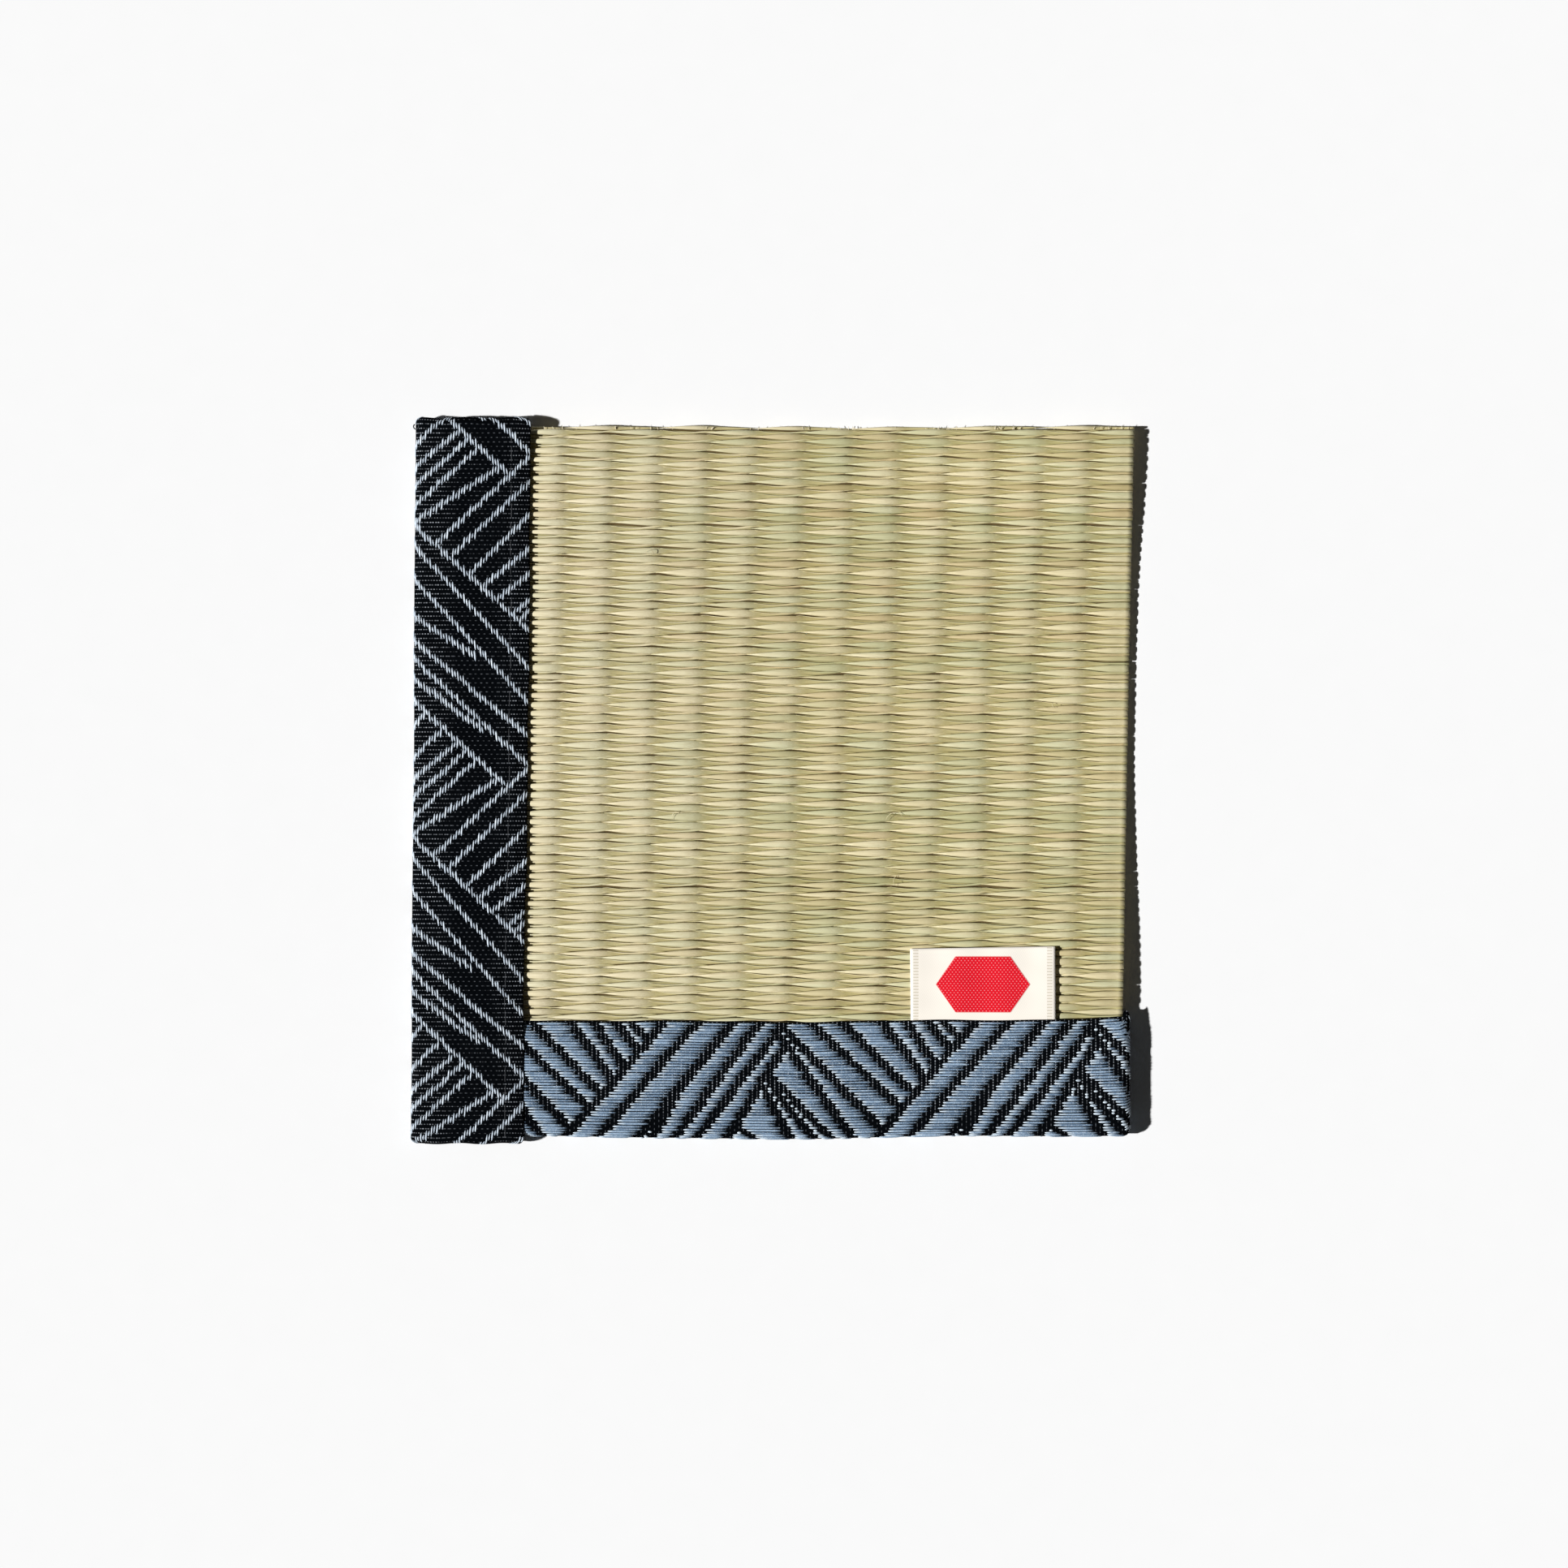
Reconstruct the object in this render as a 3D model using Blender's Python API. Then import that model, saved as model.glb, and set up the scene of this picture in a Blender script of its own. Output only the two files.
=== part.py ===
"""Tatami coaster: a small square of woven rush with two cloth bindings and a sewn-in woven label.

Metres in Blender, +Z up. The sizes below are in millimetres. The origin is on the surface that the
coaster lies on, under the middle of its outline. +X runs along the rushes, +Y along the warps.
The left binding is the dark one, and it is sewn over the end of the blue one at the near left corner.
"""

import math

import bmesh
import bpy

MM = 0.001

# Outline in plan, seen from above. Hand-cut edges are slightly out of square.
HALF_DEPTH = 57.1
DARK_OUTER_X = {"near": -56.95, "far": -56.15}
BINDING_WIDTH = 17.7
BLUE_OUTER_Y = {"left": -56.3, "right": -55.8}
BLUE_INNER_Y = {"left": -38.1, "right": -37.7}
BLUE_END_X = 56.2
RUSH_FAR_Y = 56.05
RUSH_RIGHT_X = {"near": 54.7, "far": 56.95}

# Thickness of what is stacked up.
GAP = 0.3
HEM_WALL = 0.7
SIDE_WALL = 0.95
RUSH_THICK = 1.6
RUSH_SEWN_THICK = 1.5
CORNER_DARK_WALL = 0.6
CORNER_BLUE_WALL = 0.4
CORNER_RUSH_THICK = 1.2
LABEL_THICK = 0.5

# Weave relief: one rib over every warp.
WARP_PITCH = 7.49
FIRST_WARP_X = -36.2
RIB_RELIEF = 0.3
RIB_STEPS = 6
WARPS = 13

# Sewn line and rounded folds of a binding.
SEAM_FROM_INNER = 2.8
SEAM_DEPTH = 0.25
SEAM_HALF_WIDTH = 0.5
OUTER_FOLD = 1.4
INNER_FOLD = 0.6
END_FOLD = 1.1
FOLD_LEFT = 0.25

# How the coaster lies: the free corner comes down to the surface and three corners curl up.
SAG_REACH = 45.0
CURL_FAR_LEFT = 0.8
CURL_FAR_RIGHT = 0.9
CURL_NEAR_RIGHT = 0.9
END_BULGE = 0.8
END_BULGE_LENGTH = 9.0
CORNER_RAMP = 9.0

# Label, caught under the inner edge of the blue binding.
LABEL_LEFT_X = 21.9
LABEL_RIGHT_X = 44.7
LABEL_TOP_Y = -26.2
LABEL_TUCK = 2.2
LABEL_BUMP_REACH = 6.0
LABEL_CORNER = 0.35


def smooth(value):
    """0 up to 0, 1 from 1 on, and a soft ramp between."""
    t = min(1.0, max(0.0, value))
    return t * t * (3 - 2 * t)


def between(table, low, high, share):
    """The value at a share of the way from one named end of an edge to the other."""
    return table[low] + (table[high] - table[low]) * share


def dark_outer(y):
    return between(DARK_OUTER_X, "near", "far", (y + HALF_DEPTH) / (2 * HALF_DEPTH))


def dark_inner(y):
    return dark_outer(y) + BINDING_WIDTH


def rush_left(y):
    return dark_outer(y) + SIDE_WALL + GAP


def rush_right(y):
    return between(RUSH_RIGHT_X, "near", "far", (y + HALF_DEPTH) / (HALF_DEPTH + RUSH_FAR_Y))


def blue_share(x):
    return (x + BLUE_END_X) / (2 * BLUE_END_X)


def blue_outer(x):
    return between(BLUE_OUTER_Y, "left", "right", blue_share(x))


def blue_inner(x):
    return between(BLUE_INNER_Y, "left", "right", blue_share(x))


def rush_near(x):
    return blue_outer(x) + SIDE_WALL + GAP


def beyond_bindings(x, y):
    """0 on both bindings, growing to 1 in the free part of the rush."""
    across = smooth((x - dark_inner(y)) / SAG_REACH)
    along = smooth((y - blue_inner(x)) / SAG_REACH)
    return across * along


def lift(x, y):
    """How far a point is raised or lowered from the flat layout, the same for every piece there."""
    sag = -(HEM_WALL + GAP) * beyond_bindings(x, y)
    far_left = CURL_FAR_LEFT * smooth((y - 20) / 36) * (1 - smooth((x + 39) / 60))
    far_right = CURL_FAR_RIGHT * smooth((y - 28) / 28) * smooth((x - 15) / 35)
    near_right = CURL_NEAR_RIGHT * (1 - smooth((y + 38) / SAG_REACH)) * smooth((x - 15) / 40)
    return sag + far_left + far_right + near_right


def corner(x, y):
    """1 where the two bindings lie over each other, 0 away from there."""
    across = 1 - smooth((x - dark_inner(y)) / CORNER_RAMP)
    along = 1 - smooth((y - blue_inner(x)) / CORNER_RAMP)
    return across * along


def sewn(x, y):
    """1 where the rush is squeezed inside a binding, 0 in the open."""
    under_dark = 1 - smooth((x - dark_inner(y)) / 3)
    under_blue = 1 - smooth((y - blue_inner(x)) / 3)
    return max(under_dark, under_blue)


def rush_bottom_flat(x, y):
    plain = HEM_WALL + GAP
    stacked = CORNER_DARK_WALL + GAP + CORNER_BLUE_WALL + GAP
    return plain + (stacked - plain) * corner(x, y)


def rush_bottom(x, y):
    return rush_bottom_flat(x, y) + lift(x, y)


def rush_smooth_top(x, y):
    """The top of the rush with its grooves left out, for what lies on it."""
    squeezed = RUSH_SEWN_THICK + (CORNER_RUSH_THICK - RUSH_SEWN_THICK) * corner(x, y)
    thick = RUSH_THICK + (squeezed - RUSH_THICK) * sewn(x, y)
    return rush_bottom(x, y) + thick


def rush_top(x, y):
    ridge = (1 - math.cos(2 * math.pi * (x - FIRST_WARP_X) / WARP_PITCH)) / 2
    return rush_smooth_top(x, y) - RIB_RELIEF * ridge * (1 - sewn(x, y))


def round_fold(distance, radius):
    """Share of the full height at a distance in from a folded edge."""
    t = min(1.0, max(0.0, distance / radius))
    return FOLD_LEFT + (1 - FOLD_LEFT) * math.sqrt(1 - (1 - t) ** 2)


def seam_dip(from_inner):
    off = abs(from_inner - SEAM_FROM_INNER) / SEAM_HALF_WIDTH
    return SEAM_DEPTH * (1 - smooth(off))


def folded(low, high, from_outer, from_inner, from_end):
    """The (bottom, top) of a binding after its folded edges and ends are rounded."""
    share = min(round_fold(from_outer, OUTER_FOLD), round_fold(from_end, END_FOLD))
    middle, half = (low + high) / 2, (high - low) / 2
    eased = (HEM_WALL - 0.25) * (1 - round_fold(from_inner, INNER_FOLD))
    dip = seam_dip(from_inner)
    return middle - half * share + eased, middle + half * share - eased - dip


def dark_faces(x, y):
    overlap = corner(dark_inner(y), y)
    stack = CORNER_DARK_WALL + GAP + CORNER_BLUE_WALL + GAP
    corner_top = 2 * stack + CORNER_RUSH_THICK
    plain_top = 2 * (HEM_WALL + GAP) + RUSH_SEWN_THICK
    bulge = END_BULGE * smooth((y - HALF_DEPTH + END_BULGE_LENGTH) / END_BULGE_LENGTH)
    top = plain_top + (corner_top - plain_top) * overlap + bulge
    from_end = min(HALF_DEPTH - y, y + HALF_DEPTH)
    low, high = folded(0.0, top, x - dark_outer(y), dark_inner(y) - x, from_end)
    return low + lift(x, y), high + lift(x, y)


def dark_bottom(x, y):
    return dark_faces(x, y)[0]


def dark_top(x, y):
    return dark_faces(x, y)[1]


def label_bump(x, y):
    """How far the blue binding rides up where the label is caught under it."""
    inside = smooth((x - LABEL_LEFT_X + 3) / 3) * (1 - smooth((x - LABEL_RIGHT_X) / 3))
    near = 1 - smooth((blue_inner(x) - LABEL_TUCK - y) / LABEL_BUMP_REACH)
    return (LABEL_THICK + GAP) * inside * near


def blue_wall(x):
    overlap = corner(x, blue_inner(x))
    return HEM_WALL + (CORNER_BLUE_WALL - HEM_WALL) * overlap


def blue_faces(x, y):
    wall = blue_wall(x)
    inside_y = min(y, blue_inner(x))
    squeezed = RUSH_SEWN_THICK + (CORNER_RUSH_THICK - RUSH_SEWN_THICK) * corner(x, inside_y)
    low = rush_bottom_flat(x, inside_y) - GAP - wall
    high = rush_bottom_flat(x, inside_y) + squeezed + GAP + wall + label_bump(x, y)
    low, high = folded(low, high, y - blue_outer(x), blue_inner(x) - y, BLUE_END_X - x)
    return low + lift(x, y), high + lift(x, y)


def blue_bottom(x, y):
    return blue_faces(x, y)[0]


def blue_top(x, y):
    return blue_faces(x, y)[1]


def label_bottom(x, y):
    return rush_smooth_top(x, y) + GAP


def label_top(x, y):
    return label_bottom(x, y) + LABEL_THICK


def as_drawn(column, row):
    """A place() for sheets whose columns and rows are straight."""
    return column, row


def spread(start, end, steps):
    """Evenly spaced values from start to end, both kept."""
    return [start + (end - start) * n / steps for n in range(steps + 1)]


def slab(name, place, columns, rows, bottom, top):
    """A closed sheet: a grid primitive laid out in plan by place(), then extruded down."""
    bpy.ops.mesh.primitive_grid_add(
        x_subdivisions=len(columns) - 1, y_subdivisions=len(rows) - 1, size=1
    )
    sheet = bpy.context.object
    sheet.name = name
    sheet.data.name = name
    body = bmesh.new()
    body.from_mesh(sheet.data)
    plan = {}
    for vertex in body.verts:
        column = columns[round((vertex.co.x + 0.5) * (len(columns) - 1))]
        row = rows[round((vertex.co.y + 0.5) * (len(rows) - 1))]
        plan[vertex] = place(column, row)
    lowered = bmesh.ops.extrude_face_region(body, geom=body.faces[:])
    under = {v for v in lowered["geom"] if isinstance(v, bmesh.types.BMVert)}
    for vertex in under:
        column = columns[round((vertex.co.x + 0.5) * (len(columns) - 1))]
        row = rows[round((vertex.co.y + 0.5) * (len(rows) - 1))]
        x, y = place(column, row)
        vertex.co = (x * MM, y * MM, bottom(x, y) * MM)
    for vertex, (x, y) in plan.items():
        vertex.co = (x * MM, y * MM, top(x, y) * MM)
    bmesh.ops.recalc_face_normals(body, faces=body.faces[:])
    body.to_mesh(sheet.data)
    body.free()
    return sheet


def grown(offset, face):
    """The same face, moved up or down by an offset."""
    return lambda x, y: face(x, y) + offset


def material(name, colour, roughness):
    made = bpy.data.materials.new(name)
    made.use_nodes = True
    shader = made.node_tree.nodes["Principled BSDF"]
    shader.inputs["Base Color"].default_value = (*colour, 1.0)
    shader.inputs["Roughness"].default_value = roughness
    shader.inputs["Metallic"].default_value = 0.0
    made.diffuse_color = (*colour, 1.0)
    return made


def collection(name):
    made = bpy.data.collections.new(name)
    bpy.context.scene.collection.children.link(made)
    return made


def move_to(piece, group):
    for old in list(piece.users_collection):
        old.objects.unlink(piece)
    group.objects.link(piece)


def finish_piece(piece, group, finish):
    move_to(piece, group)
    piece.data.materials.append(finish)
    piece.data.shade_smooth()
    piece.data.set_sharp_from_angle(angle=math.radians(35))


def cut(piece, cutter, helpers):
    """Takes a hidden cutter out of a piece."""
    move_to(cutter, helpers)
    cutter.hide_render = True
    cutter.display_type = "WIRE"
    modifier = piece.modifiers.new("cut " + cutter.name, "BOOLEAN")
    modifier.operation = "DIFFERENCE"
    modifier.solver = "EXACT"
    modifier.object = cutter


def fold_steps(radius):
    """Distances in from a folded edge that keep its rounding."""
    return [0.0, 0.06 * radius, 0.25 * radius, 0.55 * radius, radius]


def across_binding():
    """Distances across a binding, from its outer fold to its inner edge."""
    seam = BINDING_WIDTH - SEAM_FROM_INNER
    inner = [BINDING_WIDTH - step for step in reversed(fold_steps(INNER_FOLD))]
    return [
        *fold_steps(OUTER_FOLD), 4.5, 8.5, 12.0,
        seam - SEAM_HALF_WIDTH, seam, seam + SEAM_HALF_WIDTH, *inner,
    ]


def add_rush():
    """The woven rush: one flat sheet with a rib over every warp."""
    free_from = FIRST_WARP_X - WARP_PITCH / 2
    ribs = spread(free_from, free_from + WARP_PITCH * (WARPS - 0.5), round((WARPS - 0.5) * RIB_STEPS))
    last_straight = ribs[-4]
    columns = [-56.0, -48.0, -43.0, *ribs]

    def place(column, row):
        x = column
        if column == columns[0]:
            x = rush_left(row)
        elif column > last_straight:
            full = columns[-1] - last_straight
            x = last_straight + (column - last_straight) / full * (rush_right(row) - last_straight)
        y = rush_near(x) if row == rows[0] else row
        return x, y

    rows = [-56.0, -48.0, -40.0, -37.0, -33.0, *spread(-28.0, 48.0, 9), 52.5, RUSH_FAR_Y]
    return slab("rush_mat", place, columns, rows, rush_bottom, rush_top)


def add_rush_cutter(name, columns, rows, place):
    return slab(name, place, columns, rows, grown(-GAP, rush_bottom), grown(GAP, rush_smooth_top))


def add_blue(helpers):
    """The blue binding along the near edge, folded round the rush and closed at its right end."""
    left = rush_left(-47.0) + 0.2
    right = [BLUE_END_X - step for step in reversed(fold_steps(END_FOLD))]
    columns = [left, -47.0, -38.5, -34.0, -29.5, -20, -8, 4, 14, 19.5, 22, 33, 44.5, 47.5, *right]

    def place(column, row):
        width = blue_inner(column) - blue_outer(column)
        return column, blue_outer(column) + row * width / BINDING_WIDTH

    piece = slab("binding_blue", place, columns, across_binding(), blue_bottom, blue_top)

    end = rush_right(-47.0) + GAP
    rush_columns = [-58.0, -47.0, -38.5, -34.0, -29.5, -20, -8, 4, 14, 24, 34, 44, end]

    def place_rush(column, row):
        y = rush_near(column) - GAP if row == rows[0] else row
        return column, y

    rows = [-56.0, -50.0, -44.0, -39.5, -37.9, -36.0]
    cut(piece, add_rush_cutter("cutter_rush_in_blue", rush_columns, rows, place_rush), helpers)

    label_columns = [LABEL_LEFT_X - GAP, 33.0, LABEL_RIGHT_X + GAP]
    label_rows = [blue_inner(33.0) - LABEL_TUCK - GAP, -38.4, -36.5]
    label_cutter = slab(
        "cutter_label_in_blue", as_drawn, label_columns, label_rows,
        rush_smooth_top, grown(GAP, label_top),
    )
    cut(piece, label_cutter, helpers)
    return piece


def add_dark(helpers):
    """The dark binding along the left edge, sewn over the end of the blue one."""
    end = fold_steps(END_FOLD)
    near = [-HALF_DEPTH + step for step in end]
    far = [HALF_DEPTH - step for step in reversed(end)]
    rows = [*near, -47.0, -38.0, -33.5, -29.0, -20, -8, 4, 16, 26, 36, 46, 50, 53, *far]

    def place(column, row):
        return dark_outer(row) + column, row

    piece = slab("binding_dark", place, across_binding(), rows, dark_bottom, dark_top)

    columns = [-58.0, -50.0, -44.0, -39.5, -37.5, -35.5]

    def place_rush(column, row):
        x = rush_left(row) - GAP if column == columns[0] else column
        return x, row

    rush_rows = [-55.5, -47, -38, -33.5, -29, -20, -8, 4, 16, 26, 36, 46, 51, RUSH_FAR_Y + GAP]
    cut(piece, add_rush_cutter("cutter_rush_in_dark", columns, rush_rows, place_rush), helpers)

    def place_blue(column, row):
        y = blue_inner(column) + GAP if row == blue_rows[-1] else row
        y = blue_outer(column) - GAP if row == blue_rows[0] else y
        return column, y

    def blue_low(x, y):
        return rush_bottom(x, min(y, blue_inner(x))) - GAP - CORNER_BLUE_WALL - GAP

    def blue_high(x, y):
        return rush_smooth_top(x, min(y, blue_inner(x))) + GAP + CORNER_BLUE_WALL + GAP

    blue_columns = [rush_left(-47.0) + 0.2 - GAP, -47.0, -40.0, -38.5, -37.0]
    blue_rows = [-57.0, -52.0, -46.0, -41.0, -37.0]
    blue_cutter = slab(
        "cutter_blue_in_dark", place_blue, blue_columns, blue_rows, blue_low, blue_high
    )
    cut(piece, blue_cutter, helpers)
    return piece


def add_label():
    """The small woven label, its near end caught under the blue binding."""
    columns = [LABEL_LEFT_X, LABEL_LEFT_X + LABEL_CORNER, 27.5, 33.3, 39.0,
               LABEL_RIGHT_X - LABEL_CORNER, LABEL_RIGHT_X]
    rows = [blue_inner(33.0) - LABEL_TUCK, -38.4, -35.0, -32.0, -29.0,
            LABEL_TOP_Y - LABEL_CORNER, LABEL_TOP_Y]
    return slab("label", as_drawn, columns, rows, label_bottom, label_top)


def main():
    for old in list(bpy.data.objects):
        bpy.data.objects.remove(old)
    pieces = collection("tatami_coaster")
    helpers = collection("cutters")
    rush = material("rush", (0.66, 0.58, 0.33), 0.55)
    dark = material("dark_brocade", (0.012, 0.014, 0.02), 0.8)
    blue = material("blue_brocade", (0.19, 0.27, 0.38), 0.6)
    cream = material("cream_label", (0.9, 0.85, 0.76), 0.7)
    finish_piece(add_rush(), pieces, rush)
    finish_piece(add_blue(helpers), pieces, blue)
    finish_piece(add_dark(helpers), pieces, dark)
    finish_piece(add_label(), pieces, cream)


main()
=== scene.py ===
"""Looks of the tatami coaster: single rushes, two figured bindings, a woven label and a plain stage.

Sizes are in millimetres until a mesh is made. +X runs along the rushes and +Y along the warps.
"""

import math

import bpy
import numpy as np
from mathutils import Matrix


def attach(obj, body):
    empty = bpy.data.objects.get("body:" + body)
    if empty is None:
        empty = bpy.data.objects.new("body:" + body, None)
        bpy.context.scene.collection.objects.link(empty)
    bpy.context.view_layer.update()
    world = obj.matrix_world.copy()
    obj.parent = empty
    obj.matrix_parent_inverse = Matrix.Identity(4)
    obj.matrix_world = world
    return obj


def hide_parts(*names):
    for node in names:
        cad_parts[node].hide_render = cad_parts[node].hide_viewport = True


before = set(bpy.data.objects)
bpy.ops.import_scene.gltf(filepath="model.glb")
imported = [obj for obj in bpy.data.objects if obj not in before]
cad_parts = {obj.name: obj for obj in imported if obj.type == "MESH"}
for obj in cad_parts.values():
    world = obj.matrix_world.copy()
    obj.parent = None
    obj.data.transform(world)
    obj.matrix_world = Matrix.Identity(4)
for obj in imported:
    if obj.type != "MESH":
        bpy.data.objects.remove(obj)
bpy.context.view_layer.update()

MM = 0.001
RANDOM = np.random.default_rng(11)

# Outline in plan, seen from above, as in the solids. Two numbers are for the two ends of an edge, the near
# and the far one or the left and the right one.
HALF_DEPTH = 57.1
DARK_OUTER_X = (-56.95, -56.15)
BINDING_WIDTH = 17.7
BLUE_END_X = 56.2
BLUE_OUTER_Y = (-56.3, -55.8)
BLUE_INNER_Y = (-38.1, -37.7)
RUSH_FAR_Y = 56.05
RUSH_RIGHT_X = (54.7, 56.95)

# Thickness of what is stacked up, and the lengths in plan over which it changes.
GAP = 0.3
HEM_WALL = 0.7
SIDE_WALL = 0.95
RUSH_THICK = 1.6
RUSH_SEWN_THICK = 1.5
CORNER_DARK_WALL = 0.6
CORNER_BLUE_WALL = 0.4
CORNER_RUSH_THICK = 1.2
CORNER_RAMP = 9.0
SEWN_RAMP = 3

# How the coaster lies: the free corner comes down to the surface and three corners curl up.
SAG_REACH = 45.0
CURL_FAR_LEFT = 0.8
CURL_FAR_RIGHT = 0.9
CURL_NEAR_RIGHT = 0.9
OPEN_EDGE_CURL = 0.2
OPEN_EDGE_CURL_FAR = 0.4
END_BULGE = 0.8
END_BULGE_LENGTH = 9

# Weave of the facing. The warps lean a little and spread towards the far edge.
WARP_PITCH = 7.465
WARP_SPREAD = 0.0009
FIRST_WARP_X = -37.0
WARP_LEAN = 0.0195
WARPS = 13
FIRST_ROW_Y = 55.5
PICK_PITCH = 0.712
PICKS = 138
UNDER_DARK = 3.0
SHEET_DEPTH = 0.36
SHEET_THICK = 0.12

# How uneven the weave is: the wave of a stem, its row, its cut right end and its thickness.
WAVE_SPREAD = 0.13
ROW_SPREAD = 0.03
END_SPREAD = 0.02
THICKNESS_SPREAD = 0.08

# Every pick has one stem of each kind. "rise" is how far a stem swings up and down and "tall" is how high
# it is. "aside" is how far it lies beside its row, in picks, and it is twice that on a warp. "width" lists
# its width at points of its wave: 0 is on top of a warp, pi below the next one.
MAIN_STEM = {
    "sections": 124, "sides": 8, "rise": 0.46, "tall": 0.58, "aside": 0.0, "tone": 0.6,
    "width": (
        (-3.15, 0.78), (-2.5, 0.48), (-2.1, 0.15), (-1.8, 0.12), (-1.5, 0.26), (-1.1, 0.48),
        (-0.6, 0.74), (-0.1, 0.95), (0.4, 1.08), (1.0, 1.11), (1.7, 1.04), (2.4, 0.94), (3.15, 0.78),
    ),
}
# The slim stems' lower tone is painted shade: they lie lower, between the main stems.
SLIM_STEM = {
    "sections": 100, "sides": 6, "rise": 0.22, "tall": 0.36, "aside": 0.5, "tone": 0.4,
    "width": (
        (-3.15, 0.22), (-2.2, 0.10), (-1.3, 0.06), (-0.4, 0.18), (0.4, 0.34), (1.2, 0.42),
        (1.9, 0.40), (2.5, 0.30), (3.15, 0.22),
    ),
}

# Fine hairs split from the stems.
SPLINTERS = [
    {"x": 19.3, "y": -6.5, "turn": 0.6, "radius": 1.5},
    {"x": 19.9, "y": -15.8, "turn": 1.9, "radius": 0.9},
    {"x": -15.0, "y": -5.6, "turn": 1.3, "radius": 0.8},
    {"x": -19.4, "y": 35.6, "turn": 0.2, "radius": 0.7},
    {"x": 44.5, "y": 12.0, "turn": 2.6, "radius": 0.5},
]

# Label, caught under the inner edge of the blue binding.
LABEL_LEFT_X = 21.9
LABEL_RIGHT_X = 44.7
LABEL_TOP_Y = -26.2
LABEL_TUCK = 2.2
LABEL_TUCK_X = 33.0
LABEL_THICK = 0.42
LABEL_BUMP = 0.55
LABEL_BUMP_REACH = 6
LABEL_SIDE_RAMP = 3

# The label's plain hexagon and the two ladder bands beside its edges.
MARK_Y = -32.0
MARK_SHIFT = 0.25
MARK_HALF_WIDTH = 7.4
MARK_HALF_HEIGHT = 4.4
MARK_SLANT = 0.7
LADDER_START = 0.5
LADDER_STOP = 1.3
RUNG_PITCH = 0.47

# Hatch charts. Each line crosses the middle of the tape at "at" millimetres along a 49 mm repeat and
# runs "lean" millimetres along the tape for each millimetre across it. A line may have a "low" or a
# "high" end across the tape. The field fills the cloth between one bundle and the next.
REPEAT = 49.0
DARK_HATCH = {
    "phase": 25.9,
    "bundle": [
        {"at": 0.0, "lean": 0.93}, {"at": 4.6, "lean": 1.08}, {"at": 9.9, "lean": 1.09},
        {"at": 11.9, "lean": 0.67, "high": 0.7}, {"at": 17.3, "lean": 0.85}, {"at": 21.0, "lean": 0.94},
        {"at": 22.5, "lean": 0.75, "high": 2.2}, {"at": 27.5, "lean": 0.93, "high": 5.6},
    ],
    "field": [
        {"at": 14.3, "lean": -1.0}, {"at": 19.7, "lean": -0.95}, {"at": 24.4, "lean": -0.79},
        {"at": 26.8, "lean": -0.86}, {"at": 29.5, "lean": -0.92}, {"at": 34.4, "lean": -0.65, "high": 5.2},
        {"at": 38.4, "lean": -0.95}, {"at": 42.5, "lean": -0.98}, {"at": 48.0, "lean": -1.0},
        {"at": 51.4, "lean": -0.78}, {"at": 55.9, "lean": -0.88}, {"at": 59.7, "lean": -0.83},
        {"at": 63.0, "lean": -1.0},
    ],
}
BLUE_HATCH = {
    "phase": 29.9,
    "bundle": [
        {"at": 0.0, "lean": -0.88}, {"at": 5.1, "lean": -0.88}, {"at": 10.7, "lean": -0.56, "low": 2.4},
        {"at": 11.2, "lean": -0.84}, {"at": 16.0, "lean": -0.75}, {"at": 19.7, "lean": -0.78},
        {"at": 23.2, "lean": -0.64, "low": -6.0},
    ],
    "field": [
        {"at": 9.3, "lean": 1.4}, {"at": 22.7, "lean": 0.55}, {"at": 24.0, "lean": 0.81},
        {"at": 25.1, "lean": 1.0}, {"at": 30.9, "lean": 0.72}, {"at": 34.4, "lean": 1.0},
        {"at": 40.2, "lean": 1.08}, {"at": 44.6, "lean": 1.02}, {"at": 48.7, "lean": 0.77},
        {"at": 51.6, "lean": 0.67}, {"at": 56.6, "lean": 0.87}, {"at": 60.1, "lean": 1.0},
    ],
}
FIELD_STEP = 4.3
FIELD_EXTRA_LINES = 9
FIELD_CLEARANCE = 0.3
SPARE_REPEATS = 3

# The figured cloth. The blue tape starts inside the dark one.
BLUE_START_X = -54.6
CLOTH_THICK = 0.42
CLOTH_HEM_THICK = 0.3
GLINT_PITCH = 0.43

# Its threads. A float is one thread's run over the face. A dark one crosses a hatch line. A blue one
# starts "after" a line and stops "before" the next. "lead" and "tail" are its tapered ends.
DARK_THREAD_PITCH = 0.43
BLUE_THREAD_PITCH = 0.42
WEFT_PITCH = 0.7
DARK_FLOAT = {"half_lengths": (0.52, 0.88), "width": 0.29, "height": 0.15, "skew": 0.16, "taper": 0.5}
BLUE_FLOAT = {"after": 0.66, "before": 0.62, "width": 0.40, "height": 0.16, "lead": 1.0, "tail": 1.4}
TAPE_END_MARGIN = 0.05

# Stage. The camera looks straight down over the middle of the photograph's frame. Metres and degrees.
FRAME_WIDTH = 0.2473
CAMERA_AT = (0.00179, -0.00051, 0.95)
SENSOR_WIDTH = 36.0
KEY_STRENGTH = 4.7
KEY_SPREAD = 2.6
KEY_BEARING = 187.5
KEY_HEIGHT = 46
FILL_STRENGTH = 0.026
FLOOR_SIZE = 8.0


# Curves shared by every piece.

def smooth(value):
    """0 up to 0, 1 from 1 on, and a soft ramp between."""
    t = np.clip(value, 0, 1)
    return t * t * (3 - 2 * t)


def ramp(value, start, length):
    """0 up to start, 1 from a length past it on, and a soft ramp between."""
    return smooth((value - start) / length)


def wander(value, size, length, phase=0.0):
    """A slow swing to both sides, as in what is cut, grown or sewn by hand."""
    return size * np.sin(value / length + phase)


def bow(value, middle, reach):
    """1 at the middle of a gentle bow, falling to 0 on both sides."""
    return np.exp(-((value - middle) / reach) ** 2)


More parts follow.
